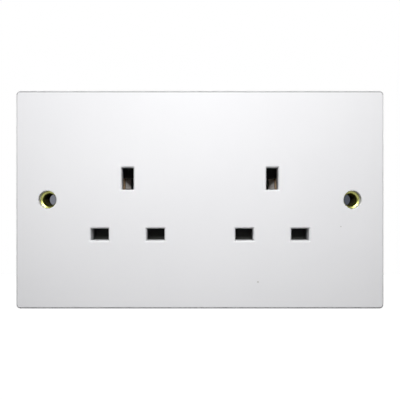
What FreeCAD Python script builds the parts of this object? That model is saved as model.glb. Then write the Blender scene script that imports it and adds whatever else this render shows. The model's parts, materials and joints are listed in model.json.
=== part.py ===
import FreeCAD, Part
import math
import os
import Sketcher

# Unswitched twin wall socket for flat three-pin plugs, seen from the front along +Y.
# X runs right and Z up, the wall plane is y = 0, the front face is at y = -plate_depth, sizes in mm.

SIZES = {
    # Front plate
    "plate_width": 146.0,
    "plate_height": 86.5,
    "plate_depth": 9.5,
    "plate_corner_radius": 1.6,
    "plate_edge_radius": 0.7,
    "front_wall": 3.0,
    "rim_wall": 2.6,
    "rib_wall": 1.2,
    "rib_height": 3.6,
    # Fixing holes and their brass eyelets
    "fixing_share": 0.4654,
    "fixing_hole": 7.1,
    "fixing_chamfer": 0.2,
    "fixing_boss": 10.0,
    "eyelet_recess": 2.1,
    "eyelet_flange": 1.2,
    "eyelet_bore": 4.7,
    "eyelet_wall": 0.5,
    "eyelet_lip": 0.9,
    "eyelet_gap": 0.05,
    "wall_setback": 0.1,
    # Pin pattern of one outlet
    "outlet_spacing": 57.5,
    "earth_height": 8.4,
    "earth_to_line": 22.2,
    "pin_spacing": 22.2,
    "pin_thickness": 3.97,
    "line_pin_width": 6.35,
    "earth_pin_width": 7.92,
    "earth_pin_length": 22.73,
    "pin_clearance": 0.42,
    "slot_chamfer": 0.5,
    "line_well_depth": 7.6,
    "earth_well_depth": 3.8,
    "well_wall": 1.4,
    # Shutter
    "sliding_gap": 0.2,
    "guide_gap": 0.25,
    "guide_wall": 1.5,
    "shutter_thickness": 1.8,
    "shutter_overlap": 0.5,
    "shutter_margin": 0.1,
    "shutter_side": 1.5,
    "blade_height": 8.4,
    "stem_half": 5.8,
    "window_half": 3.8,
    "head_half": 8.0,
    "head_margin": 2.7,
    "wedge_rise": 0.6,
    "ramp_inset": 1.2,
    # Return spring
    "spring_length": 10.5,
    "spring_radius": 1.8,
    "spring_wire": 0.5,
    "spring_turns": 4.5,
    "spring_end_gap": 0.02,
    "peg_width": 2.0,
    "peg_height": 2.2,
    "seat_thickness": 1.4,
    "seat_half": 4.0,
    # Sheet metal
    "live_gap": 0.7,
    "clip_sheet": 0.6,
    "clip_margin": 3.2,
    "clip_flange": 1.8,
    "leaf_entry": 0.55,
    "earth_leaf_entry": 1.0,
    "leaf_pinch": 0.2,
    "earth_leaf_pinch": 0.9,
    "leaf_throat": 4.6,
    "leaf_length": 9.0,
    "leaf_flare": 0.5,
    "strip_sheet": 0.8,
    "tab_margin": 4.0,
    "bar_width": 4.0,
    "neck_half": 2.5,
    "creepage": 3.2,
    "strap_width": 6.0,
    "lug_radius": 4.8,
    # Clenched tabs that hold the contacts to the strips
    "tab_offset": 1.7,
    "tab_width": 1.6,
    "clench_length": 0.9,
    "clench_sheet": 0.5,
    "tab_gap": 0.05,
    # Pillar terminals
    "terminal_spacing": 12.0,
    "terminal_width": 8.0,
    "terminal_length": 9.0,
    "terminal_depth": 8.5,
    "terminal_chamfer": 0.5,
    "terminal_room": 0.3,
    "wire_hole": 5.0,
    "wire_centre": 4.2,
    "tenon_width": 2.4,
    "tenon_length": 1.2,
    "tenon_gap": 0.05,
    "clamp_diameter": 3.4,
    "clamp_gap": 0.05,
    "clamp_head": 6.0,
    "clamp_head_height": 2.2,
    "clamp_reach": 4.2,
    "driver_slot": 0.9,
    "driver_depth": 1.1,
    # Rear housing
    "housing_wall": 2.0,
    "housing_corner": 3.0,
    "housing_edge": 0.8,
    "side_room": 3.75,
    "bar_room": 2.1,
    "seat_room": 0.6,
    "floor_room": 0.37,
    "bay_floor": 1.5,
    "bay_wall": 1.5,
    "bay_room": 0.5,
    "keeper_half": 2.5,
    "keeper_height": 7.0,
    "keeper_wall": 1.6,
    "cell_wall": 1.5,
    "cell_half": 7.0,
    "notch_room": 0.3,
    # Assembly screws
    "screw_diameter": 3.0,
    "screw_gap": 0.05,
    "screw_head": 5.4,
    "screw_head_height": 2.0,
    "screw_length": 9.4,
    "screw_passage": 3.4,
    "screw_well": 6.0,
    "screw_boss": 6.4,
    "screw_height": 1.2,
    "pillar_width": 7.8,
    "pillar_merge": 0.4,
}

doc = FreeCAD.newDocument("twin_socket")
sheet = doc.addObject("Spreadsheet::Sheet", "dims")
for row, (name, number) in enumerate(SIZES.items(), start=1):
    sheet.set("A%d" % row, name)
    sheet.set("B%d" % row, str(number))
    sheet.setAlias("B%d" % row, name)
doc.recompute()


class Size:
    """A length written as an expression over the sheet, so that every use of it follows the sheet."""

    def __init__(self, text):
        self.text = text

    def __str__(self):
        return self.text

    def __add__(self, other):
        return Size("(%s + %s)" % (self, other))

    def __radd__(self, other):
        return Size("(%s + %s)" % (other, self))

    def __sub__(self, other):
        return Size("(%s - %s)" % (self, other))

    def __rsub__(self, other):
        return Size("(%s - %s)" % (other, self))

    def __mul__(self, other):
        return Size("(%s * %s)" % (self, other))

    def __rmul__(self, other):
        return Size("(%s * %s)" % (other, self))

    def __truediv__(self, other):
        return Size("(%s / %s)" % (self, other))

    def __neg__(self):
        return Size("(0 - %s)" % self)

    def __float__(self):
        return float(sheet.evalExpression(self.text))


class Dims:
    """The named sizes of the sheet, each read as a Size."""

    def __getattr__(self, name):
        return Size("dims." + name)


d = Dims()


# Helpers: bodies, bound sketches and features. Every outline point is tied to the sheet.


def bind(item, prop, size):
    item.setExpression(prop, str(size))


def new_body(label):
    body = doc.addObject("PartDesign::Body", label)
    body.Label = label
    return body


def origin_plane(body, role):
    return next(item for item in body.Origin.OriginFeatures if item.Role == role)


def new_sketch(body, name, role, offset=None):
    sketch = body.newObject("Sketcher::SketchObject", body.Name + "_" + name)
    sketch.AttachmentSupport = [(origin_plane(body, role), "")]
    sketch.MapMode = "FlatFace"
    if offset is not None:
        bind(sketch, "AttachmentOffset.Base.z", offset)
    return sketch


def front_sketch(body, name, y):
    """A sketch in the plane y = const; its features below grow or cut toward +Y."""
    return new_sketch(body, name, "XZ_Plane", -y)


def tie(sketch, kind, size, *ends):
    index = sketch.addConstraint(Sketcher.Constraint(kind, *ends, float(size)))
    if isinstance(size, Size):
        bind(sketch, "Constraints[%d]" % index, size)


def polygon(sketch, points):
    first = sketch.GeometryCount
    count = len(points)
    spots = [FreeCAD.Vector(float(u), float(v), 0) for u, v in points]
    sides = [Part.LineSegment(spots[i], spots[(i + 1) % count]) for i in range(count)]
    sketch.addGeometry(sides)
    for i in range(count):
        joint = Sketcher.Constraint("Coincident", first + i, 2, first + (i + 1) % count, 1)
        sketch.addConstraint(joint)
    for i, (u, v) in enumerate(points):
        tie(sketch, "DistanceX", u, -1, 1, first + i, 1)
        tie(sketch, "DistanceY", v, -1, 1, first + i, 1)


def rectangle(sketch, u0, u1, v0, v1):
    polygon(sketch, [(u0, v0), (u1, v0), (u1, v1), (u0, v1)])


def block_at(sketch, u, v, half_u, half_v):
    rectangle(sketch, u - half_u, u + half_u, v - half_v, v + half_v)


def circle(sketch, u, v, radius):
    centre = FreeCAD.Vector(float(u), float(v), 0)
    index = sketch.addGeometry(Part.Circle(centre, FreeCAD.Vector(0, 0, 1), float(radius)))
    tie(sketch, "DistanceX", u, -1, 1, index, 3)
    tie(sketch, "DistanceY", v, -1, 1, index, 3)
    tie(sketch, "Radius", radius, index)


def feature_of(body, kind, sketch, length, backward, both_ways):
    doc.recompute()
    feature = body.newObject("PartDesign::" + kind, sketch.Name + "_" + kind.lower())
    feature.Profile = sketch
    feature.Reversed = backward
    if both_ways:
        feature.SideType = "Symmetric"
    bind(feature, "Length", length)
    body.Tip = feature
    doc.recompute()
    return feature


def pad(body, sketch, length, backward=True, both_ways=False):
    return feature_of(body, "Pad", sketch, length, backward, both_ways)


def pocket(body, sketch, length, both_ways=False):
    return feature_of(body, "Pocket", sketch, length, False, both_ways)


def turn(body, sketch):
    """A revolved piece about the Y axis; the sketch holds radius along X and depth along Y."""
    doc.recompute()
    feature = body.newObject("PartDesign::Revolution", sketch.Name + "_turned")
    feature.Profile = sketch
    feature.ReferenceAxis = (sketch, ["V_Axis"])
    feature.Angle = 360.0
    body.Tip = feature
    doc.recompute()
    return feature


def mirror(body, features, role="YZ_Plane"):
    feature = body.newObject("PartDesign::Mirrored", features[0].Name + "_mirrored")
    feature.Originals = features
    feature.MirrorPlane = (origin_plane(body, role), [""])
    body.Tip = feature
    doc.recompute()
    return feature


def dress(body, kind, prop, size, wanted):
    """Rounds or chamfers the edges of the piece so far for which wanted(edge) holds."""
    base = body.Tip
    names = ["Edge%d" % i for i, edge in enumerate(base.Shape.Edges, start=1) if wanted(edge)]
    feature = body.newObject("PartDesign::" + kind, "%s_%s%d" % (body.Name, kind.lower(), len(body.Group)))
    feature.Base = (base, names)
    bind(feature, prop, size)
    body.Tip = feature
    doc.recompute()
    return feature


def edge_at(axis, place):
    """A test for edges that lie wholly in the plane axis = place."""
    return lambda edge: all(abs(getattr(v.Point, axis) - float(place)) < 1e-4 for v in edge.Vertexes)


def along(axis):
    """A test for straight edges parallel to an axis."""

    def test(edge):
        if edge.Curve.TypeId != "Part::GeomLine":
            return False
        return abs(abs(getattr(edge.Curve.Direction, axis)) - 1) < 1e-6

    return test


def place(item, x, y, z):
    bind(item, "Placement.Base.x", x)
    bind(item, "Placement.Base.y", y)
    bind(item, "Placement.Base.z", z)


def copies(label, master, spots):
    """One node of identical fasteners: a link to the master at each spot."""
    links = []
    for number, spot in enumerate(spots, start=1):
        link = doc.addObject("App::Link", "%s_%d" % (label, number))
        link.LinkedObject = master
        place(link, *spot)
        links.append(link)
    group = doc.addObject("Part::Compound", label)
    group.Label = label
    group.Links = links
    doc.recompute()
    return group


# Depth levels along Y, counted back from the front face, and the shared heights along Z.

front_y = -d.plate_depth
ceiling_y = front_y + d.front_wall
line_well_y = front_y + d.line_well_depth
earth_well_y = front_y + d.earth_well_depth
shutter_front_y = line_well_y + d.sliding_gap
shutter_back_y = shutter_front_y + d.shutter_thickness
clip_y = shutter_back_y + d.live_gap
strip_y = clip_y + d.clip_sheet
strip_back_y = strip_y + d.strip_sheet
bay_floor_y = strip_back_y + d.bay_floor
floor_y = front_y + d.earth_pin_length + d.floor_room
housing_back_y = floor_y + d.housing_wall
lug_back_y = -d.wall_setback - d.eyelet_lip
lug_y = lug_back_y - d.strip_sheet
eyelet_y = front_y + d.eyelet_recess
eyelet_seat_y = eyelet_y + d.eyelet_flange

outlet_x = d.outlet_spacing / 2
half_pins = d.pin_spacing / 2
earth_z = d.earth_height
line_z = d.earth_height - d.earth_to_line
line_slot_w = d.line_pin_width + 2 * d.pin_clearance
line_slot_h = d.pin_thickness + 2 * d.pin_clearance
earth_slot_w = d.pin_thickness + 2 * d.pin_clearance
earth_slot_h = d.earth_pin_width + 2 * d.pin_clearance

shutter_half = half_pins + line_slot_w / 2 + d.shutter_side
shutter_travel = line_slot_h + d.shutter_overlap + d.shutter_margin
blade_low_z = line_z - line_slot_h / 2 - d.shutter_overlap
head_top_z = earth_z + earth_slot_h / 2 + d.head_margin
seat_z = head_top_z + d.spring_length
spring_y = (shutter_back_y + earth_well_y) / 2

line_root = d.pin_thickness / 2 + d.leaf_entry
earth_root = d.pin_thickness / 2 + d.earth_leaf_entry
clip_half = line_root + d.clip_sheet + d.clip_flange
tab_half = d.line_pin_width / 2 + d.tab_margin
neutral_bar_z = line_z + clip_half + d.creepage
line_bar_z = line_z - clip_half - d.creepage
terminal_x = d.terminal_spacing / 2

bay_half = terminal_x + d.terminal_width / 2 + d.bay_room
inner_half = outlet_x + half_pins + d.line_pin_width / 2 + d.clip_margin + d.side_room
housing_half = inner_half + d.housing_wall
inner_x = d.plate_width / 2 - d.rim_wall
inner_z = d.plate_height / 2 - d.rim_wall
fixing_x = housing_half + d.fixing_share * (inner_x - housing_half)
tube_radius = d.eyelet_bore / 2 + d.eyelet_wall
lip_radius = tube_radius + d.eyelet_lip
inner_low_z = line_bar_z - d.bar_width - d.bar_room
inner_top_z = seat_z + d.seat_thickness + d.seat_room
pillar_x = inner_half - d.pillar_width / 2 + d.pillar_merge
screw_spots = [(side * pillar_x, d.screw_height) for side in (-1, 1)]


# Front plate: a moulded shell with the pin wells, shutter guides, spring seats, bosses and ribs behind it.

faceplate = new_body("faceplate")
sketch = front_sketch(faceplate, "outline", front_y)
rectangle(sketch, -d.plate_width / 2, d.plate_width / 2, -d.plate_height / 2, d.plate_height / 2)
pad(faceplate, sketch, d.plate_depth)
dress(faceplate, "Fillet", "Radius", d.plate_corner_radius, along("y"))
dress(faceplate, "Fillet", "Radius", d.plate_edge_radius, edge_at("y", front_y))

sketch = front_sketch(faceplate, "hollow", ceiling_y)
rectangle(sketch, -inner_x, inner_x, -inner_z, inner_z)
pocket(faceplate, sketch, -ceiling_y)

sketch = front_sketch(faceplate, "line_wells", ceiling_y)
for side in (-1, 1):
    middle = outlet_x + side * half_pins
    reach_x = line_slot_w / 2 + d.well_wall
    reach_z = line_slot_h / 2 + d.well_wall
    block_at(sketch, middle, line_z, reach_x, reach_z)
line_wells = pad(faceplate, sketch, d.line_well_depth - d.front_wall)

sketch = front_sketch(faceplate, "earth_well", ceiling_y)
reach_x = earth_slot_w / 2 + d.well_wall
reach_z = earth_slot_h / 2 + d.well_wall
block_at(sketch, outlet_x, earth_z, reach_x, reach_z)
earth_well = pad(faceplate, sketch, d.earth_well_depth - d.front_wall)

sketch = front_sketch(faceplate, "guides", ceiling_y)
guide_low_z = blade_low_z - d.shutter_overlap
guide_top_z = blade_low_z + d.blade_height + shutter_travel
for side in (-1, 1):
    near = outlet_x + side * (shutter_half + d.guide_gap)
    far = outlet_x + side * (shutter_half + d.guide_gap + d.guide_wall)
    rectangle(sketch, near, far, guide_low_z, guide_top_z)
guides = pad(faceplate, sketch, shutter_back_y - ceiling_y)

sketch = front_sketch(faceplate, "spring_seat", ceiling_y)
rectangle(sketch, outlet_x - d.seat_half, outlet_x + d.seat_half, seat_z, seat_z + d.seat_thickness)
seat = pad(faceplate, sketch, shutter_back_y - ceiling_y)

sketch = new_sketch(faceplate, "seat_peg", "XY_Plane", seat_z - d.peg_height)
half_peg = d.peg_width / 2
block_at(sketch, outlet_x, spring_y, half_peg, half_peg)
peg = pad(faceplate, sketch, d.peg_height + d.seat_thickness / 2, backward=False)
mirror(faceplate, [line_wells, earth_well, guides, seat, peg])

sketch = front_sketch(faceplate, "screw_bosses", ceiling_y)
for x, z in screw_spots:
    block_at(sketch, x, z, d.screw_boss / 2, d.screw_boss / 2)
pad(faceplate, sketch, strip_back_y - ceiling_y)

sketch = front_sketch(faceplate, "fixing_boss", ceiling_y)
circle(sketch, fixing_x, 0, d.fixing_boss / 2)
fixing_boss = pad(faceplate, sketch, lug_y - ceiling_y)

sketch = front_sketch(faceplate, "ribs", ceiling_y)
half_rib = d.rib_wall / 2
for spot in (fixing_x, outlet_x, terminal_x):
    rectangle(sketch, spot - half_rib, spot + half_rib, inner_top_z + d.housing_wall + d.bay_room, inner_z)
    rectangle(sketch, spot - half_rib, spot + half_rib, -inner_z, inner_low_z - d.housing_wall - d.bay_room)
rectangle(sketch, fixing_x + d.fixing_boss / 4, inner_x, -half_rib, half_rib)
ribs = pad(faceplate, sketch, d.rib_height)
mirror(faceplate, [fixing_boss, ribs])

sketch = front_sketch(faceplate, "slots", front_y)
for side in (-1, 1):
    block_at(sketch, outlet_x + side * half_pins, line_z, line_slot_w / 2, line_slot_h / 2)
block_at(sketch, outlet_x, earth_z, earth_slot_w / 2, earth_slot_h / 2)
slots = pocket(faceplate, sketch, d.plate_depth)

sketch = front_sketch(faceplate, "fixing_recess", front_y)
circle(sketch, fixing_x, 0, d.fixing_hole / 2)
recess = pocket(faceplate, sketch, eyelet_seat_y - front_y)

sketch = front_sketch(faceplate, "fixing_passage", front_y)
circle(sketch, fixing_x, 0, tube_radius + d.eyelet_gap)
passage = pocket(faceplate, sketch, d.plate_depth)
mirror(faceplate, [slots, recess, passage])

sketch = front_sketch(faceplate, "pilot_holes", bay_floor_y - d.screw_length)
for x, z in screw_spots:
    circle(sketch, x, z, d.screw_diameter / 2 + d.screw_gap)
pocket(faceplate, sketch, d.screw_length)


def on_slot_mouth(edge):
    straight = edge.Curve.TypeId == "Part::GeomLine"
    inside = abs(edge.CenterOfMass.x) < float(fixing_x) and abs(edge.CenterOfMass.z) < float(inner_z)
    return straight and inside and edge_at("y", front_y)(edge)


def on_fixing_mouth(edge):
    return edge.Curve.TypeId == "Part::GeomCircle" and edge_at("y", front_y)(edge) and edge.isClosed()


dress(faceplate, "Chamfer", "Size", d.slot_chamfer, on_slot_mouth)
dress(faceplate, "Chamfer", "Size", d.fixing_chamfer, on_fixing_mouth)


# Rear housing: a tray with two contact chambers and an open terminal bay between them.

housing = new_body("rear_housing")
housing_low_z = inner_low_z - d.housing_wall
housing_top_z = inner_top_z + d.housing_wall

sketch = front_sketch(housing, "outline", ceiling_y)
rectangle(sketch, -housing_half, housing_half, housing_low_z, housing_top_z)
pad(housing, sketch, housing_back_y - ceiling_y)
dress(housing, "Fillet", "Radius", d.housing_corner, along("y"))
dress(housing, "Chamfer", "Size", d.housing_edge, edge_at("y", housing_back_y))

sketch = front_sketch(housing, "front_room", ceiling_y)
rectangle(sketch, -inner_half, inner_half, inner_low_z, inner_top_z)
pocket(housing, sketch, strip_back_y - ceiling_y)

sketch = front_sketch(housing, "chamber", strip_back_y)
rectangle(sketch, bay_half + d.bay_wall, inner_half, inner_low_z, inner_top_z)
chamber = pocket(housing, sketch, floor_y - strip_back_y)
mirror(housing, [chamber])

sketch = front_sketch(housing, "pillars", strip_back_y)
for x, z in screw_spots:
    block_at(sketch, x, z, d.pillar_width / 2, d.pillar_width / 2)
pad(housing, sketch, floor_y - strip_back_y + d.pillar_merge)

sketch = front_sketch(housing, "keepers", shutter_back_y + d.sliding_gap)
block_at(sketch, outlet_x, line_z, d.keeper_half, d.keeper_height / 2)
keeper_low_z = earth_z + d.strap_width / 2 + d.shutter_overlap
keeper_top_z = head_top_z + d.shutter_overlap
for side in (-1, 1):
    far = outlet_x + side * d.head_half
    near = outlet_x + side * (d.head_half - d.keeper_wall)
    rectangle(sketch, near, far, keeper_low_z, keeper_top_z)
keepers = pad(housing, sketch, floor_y - shutter_back_y)

sketch = front_sketch(housing, "cell_walls", strip_back_y)
cell_near = half_pins - tab_half - d.cell_wall / 2
cell_far = half_pins + tab_half - d.cell_wall / 2
for shift in (-cell_near - d.cell_wall, cell_near, cell_far):
    block_at(sketch, outlet_x + shift + d.cell_wall / 2, line_z, d.cell_wall / 2, d.cell_half)
for side in (-1, 1):
    shift = side * (clip_half + d.cell_wall / 2)
    block_at(sketch, outlet_x + shift, earth_z, d.cell_wall / 2, d.strap_width / 2)
cells = pad(housing, sketch, floor_y - strip_back_y + d.pillar_merge)
mirror(housing, [keepers, cells])

sketch = front_sketch(housing, "terminal_bay", bay_floor_y)
rectangle(sketch, -bay_half, bay_half, housing_low_z - d.bay_room, housing_top_z + d.bay_room)
pocket(housing, sketch, housing_back_y - bay_floor_y)

line_terminal_z = line_bar_z - d.bar_width / 2
neutral_terminal_z = neutral_bar_z + d.bar_width / 2
terminal_spots = {
    "left_earth_terminal": (-terminal_x, earth_z),
    "right_earth_terminal": (terminal_x, earth_z),
    "neutral_terminal": (-terminal_x, neutral_terminal_z),
    "line_terminal": (terminal_x, line_terminal_z),
}
sketch = front_sketch(housing, "terminal_windows", strip_back_y)
window_x = d.terminal_width / 2 + d.terminal_room
window_z = d.terminal_length / 2 + d.terminal_room
for x, z in terminal_spots.values():
    block_at(sketch, x, z, window_x, window_z)
pocket(housing, sketch, d.bay_floor)

sketch = front_sketch(housing, "screw_wells", bay_floor_y)
for x, z in screw_spots:
    circle(sketch, x, z, d.screw_well / 2)
pocket(housing, sketch, housing_back_y - bay_floor_y)

sketch = front_sketch(housing, "screw_passages", strip_back_y)
for x, z in screw_spots:
    circle(sketch, x, z, d.screw_passage / 2)
pocket(housing, sketch, d.bay_floor)

sketch = front_sketch(housing, "strap_notch", ceiling_y)
notch_half = d.strap_width / 2 + d.notch_room
rectangle(sketch, inner_half, housing_half, earth_z - notch_half, earth_z + notch_half)
notch = pocket(housing, sketch, strip_back_y - ceiling_y)
mirror(housing, [notch])


# Shutters: one black slide per outlet that blocks the line and neutral slots until an earth pin lifts it.


def shutter(label, x, inward):
    body = new_body(label)
    ramp_low_z = earth_z + d.earth_pin_width / 2 - shutter_travel
    ramp_top_z = earth_z + earth_slot_h / 2 + d.pin_clearance
    window_low_z = earth_z - earth_slot_h / 2 - shutter_travel - d.pin_clearance
    wedge_low_z = earth_z + d.wedge_rise
    blade_top_z = blade_low_z + d.blade_height
    plan = front_sketch(body, "plan", shutter_front_y)
    polygon(
        plan,
        [
            (-shutter_half, blade_low_z),
            (shutter_half, blade_low_z),
            (shutter_half, blade_top_z),
            (d.stem_half, blade_top_z),
            (d.stem_half, wedge_low_z),
            (d.head_half, wedge_low_z),
            (d.head_half, head_top_z),
            (-d.head_half, head_top_z),
            (-d.head_half, wedge_low_z),
            (-d.stem_half, wedge_low_z),
            (-d.stem_half, blade_top_z),
            (-shutter_half, blade_top_z),
        ],
    )
    rectangle(plan, -d.window_half, d.window_half, window_low_z, wedge_low_z)
    pad(body, plan, d.shutter_thickness)
    ramp_front_y = earth_well_y + d.sliding_gap
    ramp_run = (shutter_back_y - ramp_front_y) / (ramp_top_z - ramp_low_z)
    wedge = new_sketch(body, "wedge", "YZ_Plane")
    polygon(
        wedge,
        [
            (ramp_front_y, ramp_top_z),
            (ramp_front_y + (ramp_top_z - wedge_low_z) * ramp_run, wedge_low_z),
            (shutter_back_y, wedge_low_z),
            (shutter_back_y, head_top_z),
            (ramp_front_y, head_top_z),
        ],
    )
    pad(body, wedge, 2 * d.head_half, backward=False, both_ways=True)
    ramp_middle_x = inward * (d.ramp_inset + d.window_half) / 2
    ramp = new_sketch(body, "ramp", "YZ_Plane", ramp_middle_x)
    polygon(
        ramp,
        [
            (ramp_front_y, ramp_top_z),
            (shutter_back_y, ramp_low_z),
            (shutter_back_y, head_top_z),
            (ramp_front_y, head_top_z),
        ],
    )
    pad(body, ramp, d.window_half - d.ramp_inset, backward=False, both_ways=True)
    peg_plan = new_sketch(body, "peg", "XY_Plane", head_top_z)
    block_at(peg_plan, 0, spring_y, half_peg, half_peg)
    pad(body, peg_plan, d.peg_height, backward=False)
    bind(body, "Placement.Base.x", x)
    return body


# Return springs: open coils between the shutter head and the seat on the front plate.


def spring(label, x):
    turn_steps = 10
    wire_sides = 6
    steps = round(turn_steps * float(d.spring_turns))
    low_z = float(head_top_z + d.spring_wire / 2 + d.spring_end_gap)
    rise = float(d.spring_length - d.spring_wire - 2 * d.spring_end_gap)
    axis = FreeCAD.Vector(float(x), float(spring_y), low_z)
    sections = []
    for step in range(steps + 1):
        turned = math.tau * step / turn_steps
        outward = FreeCAD.Vector(math.cos(turned), math.sin(turned), 0)
        middle = axis + outward * float(d.spring_radius) + FreeCAD.Vector(0, 0, rise * step / steps)
        corners = []
        for side in range(wire_sides + 1):
            angle = math.tau * (side + 0.5) / wire_sides
            across = outward * math.cos(angle) + FreeCAD.Vector(0, 0, math.sin(angle))
            corners.append(middle + across * float(d.spring_wire / 2))
        sections.append(Part.makePolygon(corners))
    coil = doc.addObject("Part::Feature", label)
    coil.Label = label
    coil.Shape = Part.makeLoft(sections, True, True)
    return coil


# Contact clips: a base clenched to its strip, with two leaves folded back that grip the flats of a pin.


def contact(label, pin_width, root, pinch, x, z, upright):
    body = new_body(label)
    base = new_sketch(body, "base", "XZ_Plane")
    base_half = pin_width / 2 + d.clip_margin
    block_at(base, 0, 0, base_half, clip_half)
    mouth_half = pin_width / 2 + d.pin_clearance
    block_at(base, 0, 0, mouth_half, root)
    pad(body, base, d.clip_sheet)
    tab_x = pin_width / 2 + d.tab_offset
    near_x = tab_x - d.clip_sheet / 2
    far_x = tab_x + d.clip_sheet / 2
    behind_y = d.clip_sheet + d.strip_sheet
    clench_y = behind_y + d.clench_sheet
    clench = new_sketch(body, "clench", "XY_Plane")
    polygon(
        clench,
        [
            (far_x, 0),
            (far_x, clench_y),
            (near_x - d.clench_length, clench_y),
            (near_x - d.clench_length, behind_y),
            (near_x, behind_y),
            (near_x, 0),
        ],
    )
    clench_pad = pad(body, clench, d.tab_width, backward=False, both_ways=True)
    mirror(body, [clench_pad])
    throat = d.pin_thickness / 2 - pinch
    tip = throat + d.leaf_flare
    leaf = new_sketch(body, "leaf", "YZ_Plane")
    polygon(
        leaf,
        [
            (0, root),
            (d.leaf_throat, throat),
            (d.leaf_length, tip),
            (d.leaf_length, tip + d.clip_sheet),
            (d.leaf_throat, throat + d.clip_sheet),
            (d.clip_sheet, root + d.clip_sheet),
            (0, root + d.clip_sheet),
        ],
    )
    leaf_pad = pad(body, leaf, pin_width - d.pin_clearance, backward=False, both_ways=True)
    mirror(body, [leaf_pad], "XY_Plane")
    if upright:
        body.Placement.Rotation = FreeCAD.Rotation(FreeCAD.Vector(0, 1, 0), 90)
    place(body, x, clip_y, z)
    return body


# Line and neutral busbars: flat strips that join the like contacts of both outlets to one terminal.

tab_slot_x = d.clip_sheet / 2 + d.tab_gap
tab_slot_z = d.tab_width / 2 + d.tab_gap
tenon_hole = d.tenon_width / 2 + d.tenon_gap


def busbar(label, contact_xs, terminal_spot, bar_near_z, up):
    body = new_body(label)
    left, right = contact_xs
    bar_far_z = bar_near_z + up * d.bar_width
    tab_near_z = line_z + up * clip_half
    tab_far_z = line_z - up * clip_half
    plan = front_sketch(body, "plan", strip_y)
    outline = [(left - d.neck_half, bar_far_z), (right + d.neck_half, bar_far_z)]
    for middle in (right, left):
        outline += [
            (middle + d.neck_half, tab_near_z),
            (middle + tab_half, tab_near_z),
            (middle + tab_half, tab_far_z),
            (middle - tab_half, tab_far_z),
            (middle - tab_half, tab_near_z),
            (middle - d.neck_half, tab_near_z),
        ]
        if middle is right:
            outline += [(right - d.neck_half, bar_near_z), (left + d.neck_half, bar_near_z)]
    polygon(plan, outline)
    mouth_x = d.line_pin_width / 2 + d.pin_clearance
    mouth_z = line_root + d.clip_sheet + d.pin_clearance
    for middle in contact_xs:
        block_at(plan, middle, line_z, mouth_x, mouth_z)
        for side in (-1, 1):
            tab_x = middle + side * (d.line_pin_width / 2 + d.tab_offset)
            block_at(plan, tab_x, line_z, tab_slot_x, tab_slot_z)
    block_at(plan, *terminal_spot, tenon_hole, tenon_hole)
    pad(body, plan, d.strip_sheet)
    return body


# Earth strap: one folded strip that joins both earth contacts, both earth terminals and both eyelets.


def loose_sketch(name, upright):
    sketch = doc.addObject("Sketcher::SketchObject", name)
    if upright:
        sketch.Placement.Rotation = FreeCAD.Rotation(FreeCAD.Vector(1, 0, 0), 90)
    return sketch


def extruded(name, sketch, length):
    doc.recompute()
    item = doc.addObject("Part::Extrusion", name)
    item.Base = sketch
    item.DirMode = "Normal"
    item.Solid = True
    item.Symmetric = True
    bind(item, "LengthFwd", length)
    doc.recompute()
    return item


def earth_strap():
    fold = loose_sketch("earth_strap_fold", False)
    bend_x = housing_half + d.notch_room
    flat_x = fixing_x - lip_radius - d.notch_room
    end_x = d.plate_width / 2
    polygon(
        fold,
        [
            (-end_x, lug_y),
            (-flat_x, lug_y),
            (-bend_x, strip_y),
            (bend_x, strip_y),
            (flat_x, lug_y),
            (end_x, lug_y),
            (end_x, lug_back_y),
            (flat_x, lug_back_y),
            (bend_x, strip_back_y),
            (-bend_x, strip_back_y),
            (-flat_x, lug_back_y),
            (-end_x, lug_back_y),
        ],
    )
    plan = loose_sketch("earth_strap_plan", True)
    top_z = earth_z + d.strap_width / 2
    low_z = earth_z - d.strap_width / 2
    tab_z = d.earth_pin_width / 2 + d.clip_margin
    lug_cut = d.lug_radius * math.tan(math.pi / 8)
    half = [
        (outlet_x - clip_half, low_z),
        (outlet_x - clip_half, earth_z - tab_z),
        (outlet_x + clip_half, earth_z - tab_z),
        (outlet_x + clip_half, low_z),
        (bend_x, low_z),
        (fixing_x - lug_cut, -d.lug_radius),
        (fixing_x + lug_cut, -d.lug_radius),
        (fixing_x + d.lug_radius, -lug_cut),
        (fixing_x + d.lug_radius, lug_cut),
        (fixing_x + lug_cut, d.lug_radius),
        (bend_x, top_z),
        (outlet_x + clip_half, top_z),
        (outlet_x + clip_half, earth_z + tab_z),
        (outlet_x - clip_half, earth_z + tab_z),
        (outlet_x - clip_half, top_z),
    ]
    polygon(plan, half + [(-x, z) for x, z in reversed(half)])
    mouth_x = earth_root + d.clip_sheet + d.pin_clearance
    mouth_z = d.earth_pin_width / 2 + d.pin_clearance
    for sign in (-1, 1):
        middle = sign * outlet_x
        block_at(plan, middle, earth_z, mouth_x, mouth_z)
        for side in (-1, 1):
            tab_at_z = earth_z + side * (d.earth_pin_width / 2 + d.tab_offset)
            block_at(plan, middle, tab_at_z, tab_slot_z, tab_slot_x)
        block_at(plan, sign * terminal_x, earth_z, tenon_hole, tenon_hole)
    folded = extruded("earth_strap_folded", fold, d.plate_height)
    stamped = extruded("earth_strap_stamped", plan, d.plate_height)
    sheet_metal = doc.addObject("Part::MultiCommon", "earth_strap_sheet")
    sheet_metal.Shapes = [folded, stamped]
    holes = []
    for side in (-1, 1):
        hole = doc.addObject("Part::Cylinder", "earth_strap_hole")
        bind(hole, "Radius", tube_radius + d.eyelet_gap)
        bind(hole, "Height", -2 * lug_y)
        hole.Placement.Rotation = FreeCAD.Rotation(FreeCAD.Vector(1, 0, 0), -90)
        place(hole, side * fixing_x, 2 * lug_y, 0)
        holes.append(hole)
    drills = doc.addObject("Part::MultiFuse", "earth_strap_drills")
    drills.Shapes = holes
    strap = doc.addObject("Part::Cut", "earth_strap")
    strap.Label = "earth_strap"
    strap.Base = sheet_metal
    strap.Tool = drills
    strap.Refine = True
    doc.recompute()
    return strap


# Eyelets: turned brass liners of the fixing holes, with a coned front and a lip rolled over the strap.


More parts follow.
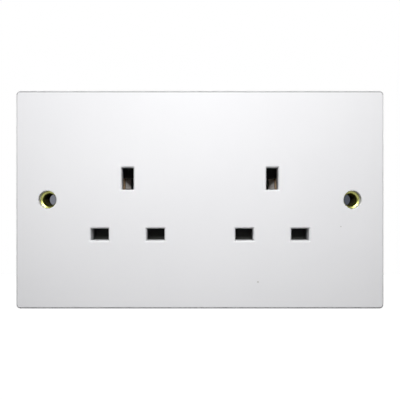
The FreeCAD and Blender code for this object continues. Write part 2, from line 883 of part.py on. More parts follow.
def eyelet(label, x):
    body = new_body(label)
    bore = d.eyelet_bore / 2
    rim = d.fixing_hole / 2 - d.eyelet_gap
    profile = new_sketch(body, "profile", "XY_Plane")
    polygon(
        profile,
        [
            (rim, eyelet_y),
            (rim, eyelet_seat_y),
            (tube_radius, eyelet_seat_y),
            (tube_radius, lug_back_y),
            (lip_radius, lug_back_y),
            (lip_radius, -d.wall_setback),
            (bore, -d.wall_setback),
            (bore, eyelet_seat_y),
        ],
    )
    turn(body, profile)
    bind(body, "Placement.Base.x", x)
    return body


# Terminals: brass pillars staked to the strips, with a wire hole up the middle and a clamp screw behind.


def terminal(label, x, z):
    body = new_body(label)
    block = new_sketch(body, "block", "XZ_Plane")
    half_x = d.terminal_width / 2
    half_z = d.terminal_length / 2
    block_at(block, 0, 0, half_x, half_z)
    pad(body, block, d.terminal_depth)
    dress(body, "Chamfer", "Size", d.terminal_chamfer, edge_at("y", d.terminal_depth))
    tenon = front_sketch(body, "tenon", -d.tenon_length)
    block_at(tenon, 0, 0, d.tenon_width / 2, d.tenon_width / 2)
    pad(body, tenon, d.tenon_length)
    wire = new_sketch(body, "wire_hole", "XY_Plane")
    circle(wire, 0, d.wire_centre, d.wire_hole / 2)
    pocket(body, wire, 2 * d.terminal_length, both_ways=True)
    clamp = front_sketch(body, "clamp_hole", d.wire_centre)
    circle(clamp, 0, 0, d.clamp_diameter / 2 + d.clamp_gap)
    pocket(body, clamp, d.terminal_depth)
    place(body, x, strip_back_y, z)
    return body


# Screws: one master of each, turned about the Y axis, then copied to its places.


def clamp_screw():
    body = new_body("clamp_screw_master")
    tip_y = d.wire_centre + d.wire_hole / 2 + d.clamp_gap
    head_y = tip_y + d.clamp_reach
    back_y = head_y + d.clamp_head_height
    shank = d.clamp_diameter / 2
    rim = d.clamp_head / 2
    profile = new_sketch(body, "profile", "XY_Plane")
    polygon(
        profile,
        [
            (0, tip_y),
            (shank, tip_y),
            (shank, head_y),
            (rim, head_y),
            (rim, back_y),
            (0, back_y),
        ],
    )
    turn(body, profile)
    cut = front_sketch(body, "driver_slot", back_y - d.driver_depth)
    rectangle(cut, -rim, rim, -d.driver_slot / 2, d.driver_slot / 2)
    pocket(body, cut, d.driver_depth)
    return body


def assembly_screw():
    body = new_body("assembly_screw_master")
    shank = d.screw_diameter / 2
    rim = d.screw_head / 2
    point_y = d.screw_gap - d.screw_length
    profile = new_sketch(body, "profile", "XY_Plane")
    polygon(
        profile,
        [
            (0, point_y),
            (shank, point_y),
            (shank, 0),
            (rim, 0),
            (rim, d.screw_head_height),
            (0, d.screw_head_height),
        ],
    )
    turn(body, profile)
    cross = front_sketch(body, "driver_cross", d.screw_head_height - d.driver_depth)
    arm = rim / 2
    half = d.driver_slot / 2
    polygon(
        cross,
        [
            (-arm, -half), (-half, -half), (-half, -arm), (half, -arm), (half, -half), (arm, -half),
            (arm, half), (half, half), (half, arm), (-half, arm), (-half, half), (-arm, half),
        ],
    )
    pocket(body, cross, d.driver_depth)
    return body


nodes = [faceplate, housing]
for name, sign in (("left", -1), ("right", 1)):
    nodes.append(shutter(name + "_shutter", sign * outlet_x, -sign))
    nodes.append(spring(name + "_shutter_spring", sign * outlet_x))
    nodes.append(eyelet(name + "_eyelet", sign * fixing_x))
    middle = sign * outlet_x
    label = name + "_earth_contact"
    nodes.append(contact(label, d.earth_pin_width, earth_root, d.earth_leaf_pinch, middle, earth_z, True))

neutral_xs = [-outlet_x - half_pins, outlet_x - half_pins]
line_xs = [-outlet_x + half_pins, outlet_x + half_pins]
for name, xs in (("neutral", neutral_xs), ("line", line_xs)):
    for side, x in zip(("left", "right"), xs):
        label = "%s_%s_contact" % (side, name)
        nodes.append(contact(label, d.line_pin_width, line_root, d.leaf_pinch, x, line_z, False))
nodes.append(busbar("neutral_busbar", neutral_xs, terminal_spots["neutral_terminal"], neutral_bar_z, 1))
nodes.append(busbar("line_busbar", line_xs, terminal_spots["line_terminal"], line_bar_z, -1))
nodes.append(earth_strap())
for label, (x, z) in terminal_spots.items():
    nodes.append(terminal(label, x, z))

clamp_spots = [(x, strip_back_y, z) for x, z in terminal_spots.values()]
nodes.append(copies("terminal_screws", clamp_screw(), clamp_spots))
nodes.append(copies("assembly_screws", assembly_screw(), [(x, bay_floor_y, z) for x, z in screw_spots]))
doc.recompute()

for item in doc.Objects:
    faults = [state for state in item.State if state in ("Invalid", "Error")]
    if faults:
        raise RuntimeError("%s did not recompute: %s" % (item.Name, faults))
for node in nodes:
    if node.Shape.isNull() or not node.Shape.isValid():
        raise RuntimeError(node.Label + " has no valid shape")

os.makedirs("parts", exist_ok=True)
for node in nodes:
    node.Shape.exportStep("parts/%s.step" % node.Label)
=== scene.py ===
import json
import math
import bpy
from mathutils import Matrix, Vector


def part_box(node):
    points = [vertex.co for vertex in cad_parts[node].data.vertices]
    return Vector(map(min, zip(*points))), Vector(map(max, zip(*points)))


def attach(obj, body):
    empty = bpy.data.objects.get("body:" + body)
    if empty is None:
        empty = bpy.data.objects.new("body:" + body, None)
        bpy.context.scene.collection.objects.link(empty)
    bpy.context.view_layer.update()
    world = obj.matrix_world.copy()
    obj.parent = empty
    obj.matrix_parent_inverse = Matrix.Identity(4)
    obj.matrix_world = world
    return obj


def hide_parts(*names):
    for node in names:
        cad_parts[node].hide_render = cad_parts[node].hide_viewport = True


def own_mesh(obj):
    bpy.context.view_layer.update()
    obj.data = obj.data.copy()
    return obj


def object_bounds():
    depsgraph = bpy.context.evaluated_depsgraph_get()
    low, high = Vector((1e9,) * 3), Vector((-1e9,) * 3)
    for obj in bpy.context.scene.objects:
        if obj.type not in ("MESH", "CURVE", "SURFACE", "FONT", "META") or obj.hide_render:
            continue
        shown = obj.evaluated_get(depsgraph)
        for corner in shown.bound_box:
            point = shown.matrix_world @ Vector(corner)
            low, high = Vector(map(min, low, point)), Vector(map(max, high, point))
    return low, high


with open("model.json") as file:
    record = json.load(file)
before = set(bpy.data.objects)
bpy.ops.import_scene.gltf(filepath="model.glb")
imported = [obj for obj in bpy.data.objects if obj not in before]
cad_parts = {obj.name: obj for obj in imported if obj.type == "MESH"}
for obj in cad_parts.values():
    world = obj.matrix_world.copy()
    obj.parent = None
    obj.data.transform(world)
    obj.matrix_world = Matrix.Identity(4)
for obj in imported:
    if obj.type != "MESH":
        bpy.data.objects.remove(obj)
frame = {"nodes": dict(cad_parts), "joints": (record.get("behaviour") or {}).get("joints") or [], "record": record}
nodes = frame["nodes"]
cad_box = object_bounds()


# Front plate: one compression moulding of white urea, as it leaves a polished mould, with a soft gloss and
# a barely felt orange peel. A few specks of dust lie on it. Its front edge is painted with shade, darker along
# the top and bottom, and the walls of its slots are painted dark with shade that deepens into them.

PLATE_WHITE = (0.87, 0.87, 0.885, 1)
PLATE_SHADE = (0.855, 0.855, 0.872, 1)
# painted shade: the grey of a thin band round the front edge, and a darker grey for its top and bottom
RIM_SHADE_GREY = (0.68, 0.68, 0.69, 1)
EDGE_SHADE = (0.46, 0.46, 0.47, 1)
DUST_GREY = (0.52, 0.51, 0.49, 1)
# painted shade: the dark grey that the walls of the slots take on deeper in
SLOT_SHADE_GREY = (0.06, 0.06, 0.06, 1)
SPECK_SPACING = 0.017
SPECK_RADIUS = 0.00022
MARK_X = 0.0230
MARK_Z = -0.0326
MARK_RADIUS = 0.0004
MARK_STRENGTH = 0.6
EDGE_ROUND = 0.0005
PLATE_CORNER = 0.0016
EDGE_BAND = (0.0008, 0.00105)
EDGE_DEPTHS = (0.0007, 0.0015)
SLOT_LIP = 0.00035
SLOT_SHADE_DEPTHS = (0.0009, 0.0065)
RIGHT_SLOTS = ("right_earth_slot", "right_neutral_slot", "right_line_slot")


class Tap:
    """One output of a finish's nodes. Arithmetic on it adds Math nodes to that finish."""

    def __init__(self, tree, socket=None):
        self.tree = tree
        self.socket = socket

    def node(self, kind, settings, values, out=0):
        made = self.tree.nodes.new("ShaderNode" + kind)
        for name, setting in settings.items():
            setattr(made, name, setting)
        for name, value in values.items():
            if isinstance(value, Tap):
                self.tree.links.new(value.socket, made.inputs[name])
            else:
                made.inputs[name].default_value = value
        return Tap(self.tree, made.outputs[out])

    def math(self, operation, *values):
        return self.node("Math", {"operation": operation}, dict(enumerate(values)))

    def __add__(self, other):
        return self.math("ADD", self, other)

    def __radd__(self, other):
        return self.math("ADD", other, self)

    def __sub__(self, other):
        return self.math("SUBTRACT", self, other)

    def __rsub__(self, other):
        return self.math("SUBTRACT", other, self)

    def __mul__(self, other):
        return self.math("MULTIPLY", self, other)

    def __rmul__(self, other):
        return self.math("MULTIPLY", other, self)

    def __lt__(self, other):
        return self.math("LESS_THAN", self, other)

    def __abs__(self):
        return self.math("ABSOLUTE", self)

    def over(self, least):
        return self.math("MAXIMUM", self, least)

    def axes(self):
        split = self.node("SeparateXYZ", {}, {"Vector": self}).socket.node
        return [Tap(self.tree, split.outputs[axis]) for axis in "XYZ"]

    def stretched(self, x, y, z):
        return self.node("VectorMath", {"operation": "MULTIPLY"}, {0: self, 1: (x, y, z)})

    def grain(self, scale, detail=3.0, rough=0.5):
        """Noise with about so many swells to the metre."""
        values = {"Vector": self, "Scale": scale, "Detail": detail, "Roughness": rough}
        return self.node("TexNoise", {}, values)

    def ramp(self, low, high):
        """0 below low, 1 above high, and a soft step between them."""
        values = {"Value": self, "From Min": low, "From Max": high}
        return self.node("MapRange", {"interpolation_type": "SMOOTHSTEP"}, values)

    def between(self, colour, other):
        """The first colour where this is 0, the other where it is 1."""
        return self.node("Mix", {"data_type": "RGBA"}, {0: self, 6: colour, 7: other}, out=2)

    def bump(self, strength, distance, **more):
        values = {"Height": self, "Strength": strength, "Distance": distance, **more}
        return self.node("Bump", {}, values)


def hypotenuse(across, up):
    return across.math("SQRT", across * across + up * up)


class Finish:
    """A procedural material: its constant values are set here, its varying ones by paint()."""

    def __init__(self, name, **constants):
        self.material = bpy.data.materials.new(name)
        self.material.use_nodes = True
        tree = self.material.node_tree
        self.shader = tree.nodes["Principled BSDF"]
        for socket, value in constants.items():
            self.shader.inputs[socket.replace("_", " ")].default_value = value
        self.place = Tap(tree).node("TexCoord", {}, {}, out="Object")

    def paint(self, colour, roughness, normal, metallic=None):
        varying = {"Base Color": colour, "Roughness": roughness, "Normal": normal, "Metallic": metallic}
        for socket, value in varying.items():
            if value is not None:
                self.material.node_tree.links.new(value.socket, self.shader.inputs[socket])

    def onto(self, *pieces):
        for piece in pieces:
            piece.data.materials.clear()
            piece.data.materials.append(self.material)


def in_line_with(opening, across, up):
    """1 where a point is in line with an opening of the record or just beside it, else 0."""
    (left, _, foot), (right, _, head) = opening
    beside = abs(across - (left + right) / 2) < (right - left) / 2 + SLOT_LIP
    level = abs(up - (foot + head) / 2) < (head - foot) / 2 + SLOT_LIP
    return beside * level


front_y = cad_box[0].y
openings = {opening["name"]: opening["box_m"] for opening in frame["record"]["physics"]["openings"]}
plate_finish = Finish("plate_white", IOR=1.48, Specular_IOR_Level=0.15)
place = plate_finish.place
x, y, z = place.axes()
aside = abs(x)
depth = y - front_y
mottle = place.grain(28.0).ramp(0.3, 0.7)
cells = place.node("TexVoronoi", {}, {"Vector": place, "Scale": 1 / SPECK_SPACING}, out="Distance")
mark = MARK_STRENGTH * (hypotenuse(x - MARK_X, z - MARK_Z) < MARK_RADIUS)
specks = (cells < SPECK_RADIUS / SPECK_SPACING).over(mark)
earth_slot, neutral_slot, line_slot = [in_line_with(openings[name], aside, z) for name in RIGHT_SLOTS]
# painted shade: the walls of the slots go dark with their depth behind the face
painted_slot_shade = (earth_slot + neutral_slot + line_slot) * depth.ramp(*SLOT_SHADE_DEPTHS)
corner = cad_box[1] - Vector((PLATE_CORNER, 0, PLATE_CORNER))
from_corner = hypotenuse((aside - corner.x).over(0), (abs(z) - corner.z).over(0))
# painted shade: a thin band round the front edge of the plate, near the face only
painted_rim_shade = from_corner.ramp(*EDGE_BAND) * (1 - depth.ramp(*EDGE_DEPTHS))
tone = mottle.between(PLATE_WHITE, PLATE_SHADE)
tone = specks.between(tone, DUST_GREY)
# painted shade: the band is darker along the top and bottom than at the sides
tone = painted_rim_shade.between(tone, (abs(z) < corner.z).between(EDGE_SHADE, RIM_SHADE_GREY))
tone = painted_slot_shade.between(tone, SLOT_SHADE_GREY)
sheen = 0.53 + 0.1 * place.grain(90.0) + 0.2 * specks
peel = place.grain(650.0, detail=2.0) + 0.5 * place.grain(2400.0, detail=2.0)
rounded = place.node("Bevel", {"samples": 6}, {"Radius": EDGE_ROUND})
plate_finish.paint(tone, sheen, peel.bump(strength=0.035, distance=0.0002, Normal=rounded))
plate_finish.onto(nodes["faceplate"])


# Fixing eyelets: turned brass liners, coned in front to centre a screw head and rolled over the earth
# strap behind. Each is drawn out ring by ring from a circle, and shows the fine rings of the lathe. The
# back of the bore is painted dark brown and less metallic, as painted shade.

MM = 0.001
TURN_SIDES = 72
TURN_ANGLE = 32
BRASS = (0.44, 0.45, 0.14, 1)
BRASS_DARK = (0.28, 0.28, 0.08, 1)
# painted shade: the dark brown inside the bore
BORE_SHADE_BROWN = (0.10, 0.09, 0.04, 1)
BORE_RADIUS = 0.00245
BORE_SHADE_FADE = (-0.0059, -0.0050)
LATHE_LINES = 9000.0
EYELET_RINGS = [
    (3.5, -7.32), (3.48, -7.38), (3.42, -7.4), (3.3, -7.37), (3.0, -7.26), (2.8, -7.17), (2.66, -7.02),
    (2.54, -6.75), (2.44, -6.35), (2.38, -5.9), (2.35, -5.5), (2.35, -0.5), (2.42, -0.26), (2.62, -0.12),
    (2.9, -0.1), (3.4, -0.12), (3.66, -0.26), (3.75, -0.5), (3.7, -0.78), (3.52, -0.95), (3.2, -1.0),
    (2.85, -1.0), (2.85, -6.2), (3.44, -6.2), (3.5, -6.26), (3.5, -7.32),
]


def only(*pieces):
    """Selects these pieces and nothing else, and makes the first one active."""
    bpy.ops.object.select_all(action="DESELECT")
    for piece in pieces:
        piece.select_set(True)
    if pieces:
        bpy.context.view_layer.objects.active = pieces[0]


def named(piece, name):
    piece.name = name
    piece.data.name = name
    return piece


def set_at(piece, spot):
    """Moves the selected piece to a spot and writes its place into its mesh."""
    piece.location = spot
    bpy.ops.object.transform_apply()


def ring(corners, radius, spot, turn=(math.pi / 2, 0, 0), **more):
    """Adds a circle about a line along Y, or turned another way, with its place in its mesh."""
    only()
    bpy.ops.mesh.primitive_circle_add(
        vertices=corners, radius=radius, location=spot, rotation=turn, **more
    )
    bpy.ops.object.transform_apply()
    return bpy.context.object


def smooth(piece, degrees):
    only(piece)
    bpy.ops.object.shade_smooth_by_angle(angle=math.radians(degrees))


def turned(name, x, z, rings, closed):
    """A piece turned about a line along Y: a circle drawn out through rings of (radius, y) in mm."""
    radius, y = rings[0]
    piece = named(ring(TURN_SIDES, radius * MM, (x, y * MM, z)), name)
    bpy.ops.object.mode_set(mode="EDIT")
    bpy.ops.mesh.select_all(action="SELECT")
    if not closed:
        bpy.ops.mesh.edge_face_add()
        bpy.ops.mesh.select_mode(type="EDGE")
    for (radius, y), (next_radius, next_y) in zip(rings, rings[1:]):
        bpy.ops.mesh.extrude_edges_move(TRANSFORM_OT_translate={"value": (0, (next_y - y) * MM, 0)})
        share = next_radius / radius
        bpy.ops.transform.resize(value=(share, 1, share), center_override=(x, next_y * MM, z))
    if not closed:
        bpy.ops.mesh.edge_face_add()
    bpy.ops.mesh.select_mode(type="VERT")
    bpy.ops.mesh.select_all(action="SELECT")
    bpy.ops.mesh.remove_doubles(threshold=0.001 * MM)
    bpy.ops.mesh.normals_make_consistent(inside=False)
    bpy.ops.object.mode_set(mode="OBJECT")
    smooth(piece, TURN_ANGLE)
    return piece


def copied(piece, name, offset):
    """A copy with its own mesh, moved by offset."""
    only(piece)
    bpy.ops.object.duplicate()
    twin = named(bpy.context.object, name)
    set_at(twin, offset)
    return twin


def middle(node):
    low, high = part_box(node)
    return (low + high) / 2


eyelet_finish = Finish("turned_brass", Coat_Weight=0.35, Coat_Roughness=0.3)
place = eyelet_finish.place
hole = middle("right_eyelet")
x, y, z = place.axes()
radius = hypotenuse(abs(x) - hole.x, z)
lathe = place.node("TexNoise", {"noise_dimensions": "1D"}, {"W": (radius + y) * LATHE_LINES, "Scale": 1.0})
tarnish = place.grain(420.0).ramp(0.42, 0.75)
# painted shade: the bore turns dark brown and less metallic towards its back
inside = (radius < BORE_RADIUS) * y.ramp(*BORE_SHADE_FADE)
eyelet_finish.paint(
    inside.between(tarnish.between(BRASS, BRASS_DARK), BORE_SHADE_BROWN),
    0.28 + 0.12 * lathe + 0.12 * tarnish,
    lathe.bump(strength=0.25, distance=0.00004),
    1 - 0.6 * inside,
)
right_eyelet = turned("eyelet_right", hole.x, hole.z, EYELET_RINGS, closed=True)
left_eyelet = copied(right_eyelet, "eyelet_left", (-2 * hole.x, 0, 0))
for piece, node in ((right_eyelet, "right_eyelet"), (left_eyelet, "left_eyelet")):
    eyelet_finish.onto(piece)
    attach(piece, "socket")
    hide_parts(node)


# Shutters: black nylon slides moulded in one piece, dull and slightly mottled, with the blade a paler
# grey. A spring holds each one down over the line and neutral slots until an earth pin runs up its
# ramp.

NYLON_BLACK = (0.008, 0.0085, 0.008, 1)
NYLON_WORN = (0.014, 0.0145, 0.014, 1)
BLADE_GREY = (0.046, 0.0475, 0.0445, 1)
BLADE_TOP = (-0.008, -0.004)

nylon = Finish("black_nylon", IOR=1.5, Specular_IOR_Level=0.12)
place = nylon.place
worn = place.stretched(1, 1, 0.15).grain(700.0).ramp(0.5, 0.8)
# the lower part, the blade, is a paler grey than the rest
above_blade = place.axes()[2].ramp(*BLADE_TOP)
nylon.paint(
    above_blade.between(BLADE_GREY, worn.between(NYLON_BLACK, NYLON_WORN)),
    0.62 - 0.15 * worn + 0.06 * place.grain(1500.0),
    place.grain(1800.0, detail=2.0).bump(strength=0.12, distance=0.0001),
)
nylon.onto(nodes["left_shutter"], nodes["right_shutter"])


# Return springs: coils of drawn steel wire with closed ends, pressed between the head of a shutter and
# the seat on the plate. The wire's section is turned up three runs, two close ones and an open one.

WIRE_RADIUS = 0.25
WIRE_SIDES = 12
COIL_RADIUS = 1.8
CLOSE_TURNS = 1
OPEN_TURNS = 4
COIL_STEPS = 40
COIL_ANGLE = 40
STEEL = (0.62, 0.62, 0.61, 1)
STEEL_DULL = (0.40, 0.40, 0.41, 1)


def screwed(piece, axis, pitch, turns, steps):
    """Sweeps the section of the active piece along a helix about its own axis."""
    sweep = piece.modifiers.new("sweep", "SCREW")
    sweep.axis = axis
    sweep.screw_offset = pitch
    sweep.iterations = turns
    sweep.steps = steps
    sweep.render_steps = steps
    sweep.use_normal_calculate = True
    bpy.ops.object.modifier_apply(modifier=sweep.name)


def joined(pieces, name):
    only(*pieces)
    bpy.ops.object.join()
    return named(bpy.context.object, name)


def closed_up(piece):
    """Merges the joints of a swept piece, fills its ends and turns its faces outwards."""
    only(piece)
    bpy.ops.object.mode_set(mode="EDIT")
    bpy.ops.mesh.select_mode(type="VERT")
    bpy.ops.mesh.select_all(action="SELECT")
    bpy.ops.mesh.remove_doubles(threshold=0.002 * MM)
    bpy.ops.mesh.select_all(action="DESELECT")
    bpy.ops.mesh.select_non_manifold()
    bpy.ops.mesh.fill_holes(sides=0)
    bpy.ops.mesh.select_all(action="SELECT")
    bpy.ops.mesh.normals_make_consistent(inside=False)
    bpy.ops.object.mode_set(mode="OBJECT")


def coil(name, node):
    """A spring along Z that fills the height of its node."""
    low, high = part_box(node)
    axis = middle(node)
    wire_width = 2 * WIRE_RADIUS * MM
    open_rise = high.z - low.z - wire_width - 2 * CLOSE_TURNS * wire_width
    close_run = (CLOSE_TURNS, wire_width)
    open_run = (OPEN_TURNS, open_rise / OPEN_TURNS)
    z = low.z + WIRE_RADIUS * MM
    runs = []
    for turns, pitch in (close_run, open_run, close_run):
        run = ring(WIRE_SIDES, WIRE_RADIUS * MM, (COIL_RADIUS * MM, 0, 0))
        screwed(run, "Z", pitch, turns, COIL_STEPS)
        set_at(run, (axis.x, axis.y, z))
        z += turns * pitch
        runs.append(run)
    spring = joined(runs, name)
    closed_up(spring)
    smooth(spring, COIL_ANGLE)
    return spring


wire = Finish("drawn_steel", Metallic=1.0)
place = wire.place
drawn = place.grain(2600.0)
wire.paint(
    place.grain(500.0).ramp(0.4, 0.7).between(STEEL, STEEL_DULL),
    0.24 + 0.16 * drawn,
    drawn.bump(strength=0.1, distance=0.00003),
)
for side in ("left", "right"):
    node = side + "_shutter_spring"
    low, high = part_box(node)
    joint = next(j for j in frame["joints"] if j["child"] == side + "_shutter")
    spring = coil("spring_" + side, node)
    wire.onto(spring)
    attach(spring, "socket")
    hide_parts(node)
    1 - joint["range_m"][1] / (high.z - low.z)
    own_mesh(spring)


# Contacts: clips stamped and folded from phosphor bronze, springy and a little browner than brass, with
# the drawn lines of the rolled strip. Their leaves are dipped in tin, so only the base shows the bronze.

BRONZE = (0.64, 0.45, 0.30, 1)
BRONZE_DARK = (0.46, 0.32, 0.20, 1)
TIN = (0.80, 0.78, 0.77, 1)
DIP_WAVE = 0.0006
DIP_FADE = (0.0014, 0.0020)

bronze = Finish("phosphor_bronze")
place = bronze.place
rolled = place.stretched(1, 0.06, 1).grain(3200.0)
stain = place.grain(260.0).ramp(0.4, 0.72)
dipped = (place.axes()[1] + DIP_WAVE * place.grain(900.0)).ramp(*DIP_FADE)
bronze.paint(
    dipped.between(stain.between(BRONZE, BRONZE_DARK), TIN),
    0.36 + 0.12 * rolled + 0.1 * stain + 0.2 * dipped,
    rolled.bump(strength=0.12, distance=0.00003),
    0.65 - 0.45 * dipped,
)
for side in ("left", "right"):
    for pole in ("earth", "line", "neutral"):
        bronze.onto(nodes["%s_%s_contact" % (side, pole)])


# Busbars and earth strap: flat strips stamped from rolled brass, which join the like contacts of both
# outlets to their terminals. The rolling lines run along the strip.

STRIP_BRASS = (0.76, 0.56, 0.26, 1)
STRIP_DARK = (0.52, 0.36, 0.15, 1)

strip = Finish("rolled_brass", Metallic=1.0)
place = strip.place
rolled = place.stretched(0.04, 1, 1).grain(3000.0)
stain = place.grain(150.0, detail=4.0).ramp(0.42, 0.75)
strip.paint(
    stain.between(STRIP_BRASS, STRIP_DARK),
    0.26 + 0.16 * rolled + 0.12 * stain,
    rolled.bump(strength=0.12, distance=0.00003),
)
strip.onto(nodes["neutral_busbar"], nodes["line_busbar"], nodes["earth_strap"])


# Terminals: pillars sawn from square brass bar, drilled for the wire and tapped for the clamp screw. The
# saw leaves close lines across them, and the corners are broken.

BAR_BRASS = (0.80, 0.61, 0.28, 1)
BAR_DARK = (0.60, 0.43, 0.18, 1)
TERMINALS = ("left_earth_terminal", "right_earth_terminal", "neutral_terminal", "line_terminal")

bar = Finish("sawn_brass", Metallic=1.0)
place = bar.place
sawn = place.stretched(0.05, 1, 1).grain(2200.0, detail=4.0)
stain = place.grain(220.0).ramp(0.45, 0.75)
bar.paint(
    stain.between(BAR_BRASS, BAR_DARK),
    0.22 + 0.2 * sawn + 0.1 * stain,
    sawn.bump(strength=0.2, distance=0.00004),
)
bar.onto(*(nodes[name] for name in TERMINALS))


# Terminal screws: turned brass cheese heads with a driver slot, backed off so that a wire can enter. One
# is turned, slotted and threaded, and the other three are copies of it.

CLAMP_RINGS = [
    (0.8, 8.95), (1.36, 9.35), (1.36, 13.0), (1.5, 13.15), (2.86, 13.15), (3.0, 13.29), (3.0, 14.85),
    (2.9, 15.1), (2.6, 15.35),
]
CLAMP_SLOTS = [(0.0064, 0.0022, 0.0009)]
CLAMP_THREAD = {"core": 1.34, "crest": 1.7, "first_y": 9.3, "pitch": 0.7, "turns": 5}
CLAMP_BRASS = (0.76, 0.58, 0.28, 1)
CLAMP_DARK = (0.52, 0.38, 0.17, 1)
RIDGE_HEIGHT = 1.5
THREAD_STEPS = 36
THREAD_ANGLE = 30


def thread(x, z, core, crest, first_y, pitch, turns):
    """A ridge wound about a line along Y from a three-cornered section, with sizes in mm."""
    radius = (crest - core) / RIDGE_HEIGHT
    ridge = ring(3, radius * MM, ((core + radius / 2) * MM, 0, 0), turn=(0, 0, -math.pi / 2))
    screwed(ridge, "Y", pitch * MM, turns, THREAD_STEPS)
    set_at(ridge, (x, first_y * MM, z))
    closed_up(ridge)
    smooth(ridge, THREAD_ANGLE)
    return ridge


def cut_slot(piece, centre, size):
    """Cuts a box out of a piece, as a driver slot is milled."""
    only()
    bpy.ops.mesh.primitive_cube_add(size=1, location=centre, scale=size)
    cutter = bpy.context.object
    bpy.ops.object.transform_apply()
    only(piece)
    milling = piece.modifiers.new("milling", "BOOLEAN")
    milling.operation = "DIFFERENCE"
    milling.solver = "EXACT"
    milling.object = cutter
    bpy.ops.object.modifier_apply(modifier=milling.name)
    bpy.data.objects.remove(cutter)


def screw_at(name, x, z, rings, slots, sizes):
    """A screw along Y: turned through its rings, slotted across the end of its head, and threaded."""
    blank = turned(name, x, z, rings, closed=False)
    head_y = rings[-1][1] * MM
    for size in slots:
        cut_slot(blank, (x, head_y, z), size)
    smooth(blank, TURN_ANGLE)
    return joined([blank, thread(x, z, **sizes)], name)


clamp_finish = Finish("screw_brass", Metallic=1.0)
place = clamp_finish.place
worn = place.grain(900.0).ramp(0.45, 0.75)
clamp_finish.paint(
    worn.between(CLAMP_BRASS, CLAMP_DARK),
    0.22 + 0.2 * worn,
    place.grain(3000.0).bump(strength=0.1, distance=0.00003),
)
first, *others = [middle(name) for name in TERMINALS]
screw = screw_at("terminal_screw_1", first.x, first.z, CLAMP_RINGS, CLAMP_SLOTS, CLAMP_THREAD)
clamp_screws = [screw]
for number, centre in enumerate(others, start=2):
    offset = (centre.x - first.x, 0, centre.z - first.z)
    clamp_screws.append(copied(screw, "terminal_screw_%d" % number, offset))
for piece in clamp_screws:
    clamp_finish.onto(piece)
    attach(piece, "socket")
    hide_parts("terminal_screws")


# Rear housing: a deep tray of off-white thermoset with a spark-eroded surface. Round marks in rows show
# where the ejector pins pushed it out of the mould.

HOUSING_PALE = (0.74, 0.735, 0.71, 1)
HOUSING_SHADE = (0.68, 0.672, 0.64, 1)
EJECTOR_SPACING = 0.0262
EJECTOR_EDGE = (0.00198, 0.00222)


def from_ejector(axis):
    return axis.math("PINGPONG", axis, EJECTOR_SPACING / 2) - EJECTOR_SPACING / 4


housing = Finish("housing_plastic", IOR=1.5)
place = housing.place
x, y, z = place.axes()
dent = 1 - hypotenuse(from_ejector(x), from_ejector(z)).ramp(*EJECTOR_EDGE)
flow = place.stretched(1, 1, 0.4).grain(40.0, detail=4.0).ramp(0.3, 0.7)
pitted = place.grain(1500.0, rough=0.7)
housing.paint(
    flow.between(HOUSING_PALE, HOUSING_SHADE),
    0.52 + 0.1 * pitted - 0.14 * dent,
    (pitted * (1 - 0.6 * dent) - 1.6 * dent).bump(strength=0.3, distance=0.00012),
)
housing.onto(nodes["rear_housing"])


# Assembly screws: plated steel pan heads with a cross recess, run into bosses of the plate from behind to
# hold the housing on. They sit deep in round wells.

PAN_RINGS = [
    (0.3, -5.65), (1.1, -4.6), (1.1, 3.5), (1.3, 3.7), (2.55, 3.7), (2.7, 3.85), (2.7, 4.6), (2.55, 5.1),
    (2.2, 5.45), (1.7, 5.64), (1.2, 5.7),
]
CROSS_SLOTS = [(0.003, 0.0026, 0.0008), (0.0008, 0.0026, 0.003)]
PAN_THREAD = {"core": 1.08, "crest": 1.5, "first_y": -4.6, "pitch": 1.25, "turns": 6}

low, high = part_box("assembly_screws")
head_radius = max(radius for radius, y in PAN_RINGS) * MM
head_x = high.x - head_radius
head_z = (low.z + high.z) / 2
screw = screw_at("assembly_screw_right", head_x, head_z, PAN_RINGS, CROSS_SLOTS, PAN_THREAD)
twin = copied(screw, "assembly_screw_left", (-2 * head_x, 0, 0))
plated = Finish("plated_steel", Metallic=1.0)
place = plated.place
spangle = place.grain(1200.0).ramp(0.35, 0.7)
plated.paint(
    spangle.between(STEEL, STEEL_DULL),
    0.26 + 0.16 * spangle,
    place.grain(2600.0).bump(strength=0.1, distance=0.00003),
)
for piece in (screw, twin):
    plated.onto(piece)
    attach(piece, "socket")
    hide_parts("assembly_screws")


# Staging: a pale floor well below the socket, and behind each fixing hole a grey disc that glows for the
# camera in a painted shade and stands for the shaded wall box, darker behind the right hole. The discs
# show from in front only.

FLOOR_SIZE = 6
FLOOR_DROP = 0.6
FLOOR_PALE = (0.8, 0.8, 0.8, 1)
NEAR_LIFT = (0.78, 0.78, 0.78, 1)
FAR_LIFT = (1, 1, 1, 1)
LIFT_REACH = (0.2, 0.95)
# painted shade: the glowing grey of the disc behind each fixing hole
PAINTED_SHADE_CARDS = {"left": (0.185, 0.192, 0.222, 1), "right": (0.075, 0.083, 0.102, 1)}
CARD_RADIUS = 0.0036
CARD_SIDES = 32
CARD_Y = 0.0003


def bare_paint(name):
    """A material without a shader, and a tap to make one with."""
    made = bpy.data.materials.new(name)
    made.use_nodes = True
    tree = made.node_tree
    tree.nodes.remove(tree.nodes["Principled BSDF"])
    return made, Tap(tree)


def dressed(piece, name, paint, shader):
    """Names a piece of the stage and gives it a paint that shows this shader."""
    piece.name = name
    piece.data.materials.append(paint)
    tree = paint.node_tree
    tree.links.new(shader.socket, tree.nodes["Material Output"].inputs["Surface"])


def ray_is(tap, kind):
    return tap.node("LightPath", {}, {}, out="Is %s Ray" % kind)


def mirrored_ray(tap):
    """1 for a glossy ray or one through glass, else 0."""
    return ray_is(tap, "Glossy").over(ray_is(tap, "Transmission"))


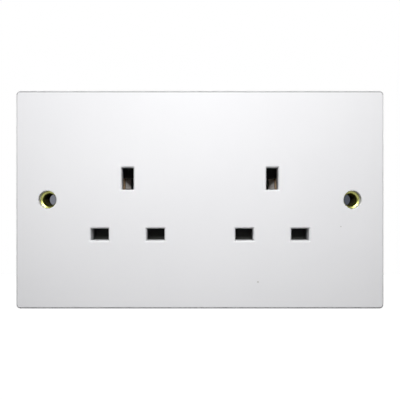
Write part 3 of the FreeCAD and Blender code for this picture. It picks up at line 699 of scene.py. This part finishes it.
only()
bpy.ops.mesh.primitive_plane_add(size=FLOOR_SIZE, location=(0, 0, -FLOOR_DROP))
floor = bpy.context.object
bpy.ops.object.transform_apply()
paint, tap = bare_paint("pale_floor")
matt = tap.node("BsdfDiffuse", {}, {"Color": FLOOR_PALE})
place = tap.node("TexCoord", {}, {}, out="Object")
away = tap.node("VectorMath", {"operation": "LENGTH"}, {0: place.stretched(1, 1, 0)}, out="Value")
lift = away.ramp(*LIFT_REACH).between(NEAR_LIFT, FAR_LIFT)
shown = ray_is(tap, "Camera").over(mirrored_ray(tap))
glow = tap.node("Emission", {}, {"Color": lift, "Strength": shown})
dressed(floor, "floor", paint, tap.node("AddShader", {}, {0: matt, 1: glow}))

for side, grey in PAINTED_SHADE_CARDS.items():
    hole = middle(side + "_eyelet")
    scrap = ring(CARD_SIDES, CARD_RADIUS, (hole.x, CARD_Y, hole.z), fill_type="NGON")
    paint, tap = bare_paint("card_grey_" + side)
    # painted shade: the disc glows for the camera with a fixed grey, darker on the right
    front = tap.node("Emission", {}, {"Color": grey, "Strength": ray_is(tap, "Camera")})
    clear = tap.node("BsdfTransparent", {}, {})
    behind = tap.node("NewGeometry", {}, {}, out="Backfacing")
    dressed(scrap, "card_" + side, paint, tap.node("MixShader", {}, {0: behind, 1: front, 2: clear}))


# Light: one soft lamp high in front, as in a small photo tent, two behind for the back of the socket and
# a weak one at each side. The surround is dim, but shows as white where it is the backdrop.

# Each lamp has its name, its stand, its width and height, its spread in degrees and its watts.
LAMPS = [
    ("front_lamp", (-0.004, front_y - 0.283, 0.163), (0.17, 0.08), 120, 0.494),
    ("back_lamp_left", (-0.22, 0.36, 0.24), (0.25, 0.25), 60, 0.19),
    ("back_lamp_right", (0.26, 0.34, 0.12), (0.25, 0.25), 60, 0.11),
    ("side_lamp_left", (-0.5, 0.05, 0.14), (0.25, 0.25), 60, 0.07),
    ("side_lamp_right", (0.5, 0.05, 0.1), (0.25, 0.25), 60, 0.09),
]
SURROUND = 0.05
ROOM = 0.25
REAR_FADE = (-0.1, 0.1)

for name, stand, (width, height), spread, watts in LAMPS:
    bpy.ops.object.light_add(type="AREA", location=stand)
    lamp = bpy.context.object
    lamp.name = name
    lamp.data.shape = "ELLIPSE"
    lamp.data.size = width
    lamp.data.size_y = height
    lamp.data.spread = math.radians(spread)
    lamp.data.energy = watts
    lamp.rotation_euler = (-Vector(stand)).to_track_quat("-Z", "Y").to_euler()

world = bpy.data.worlds.new("tent")
bpy.context.scene.world = world
world.use_nodes = True
tap = Tap(world.node_tree)
heading = tap.node("TexCoord", {}, {}, out="Generated")
rearward = heading.axes()[1].ramp(*REAR_FADE)
reflected = mirrored_ray(tap) * (ROOM - SURROUND + (1 - ROOM) * rearward)
level = SURROUND + (1 - SURROUND) * ray_is(tap, "Camera") + reflected
background = world.node_tree.nodes["Background"]
background.inputs["Color"].default_value = (1, 1, 1, 1)
world.node_tree.links.new(level.socket, background.inputs["Strength"])


# Camera: square on to the plate and close to it, as the photograph was taken, so that the outer walls of
# the slots show. The view is set by its width at the face of the plate.

CAMERA_GAP = 0.158
VIEW_WIDTH = 0.1586
CENTRE_X = 0.00002
CENTRE_Z = -0.00008
SENSOR_WIDTH = 36
NEAREST = 0.005

bpy.ops.object.camera_add(
    location=(CENTRE_X, front_y - CAMERA_GAP, CENTRE_Z), rotation=(math.pi / 2, 0, 0)
)
camera = bpy.context.object
camera.data.sensor_width = SENSOR_WIDTH
camera.data.lens = SENSOR_WIDTH * CAMERA_GAP / VIEW_WIDTH
camera.data.clip_start = NEAREST
bpy.context.scene.camera = camera
bpy.context.scene.view_settings.view_transform = "Standard"
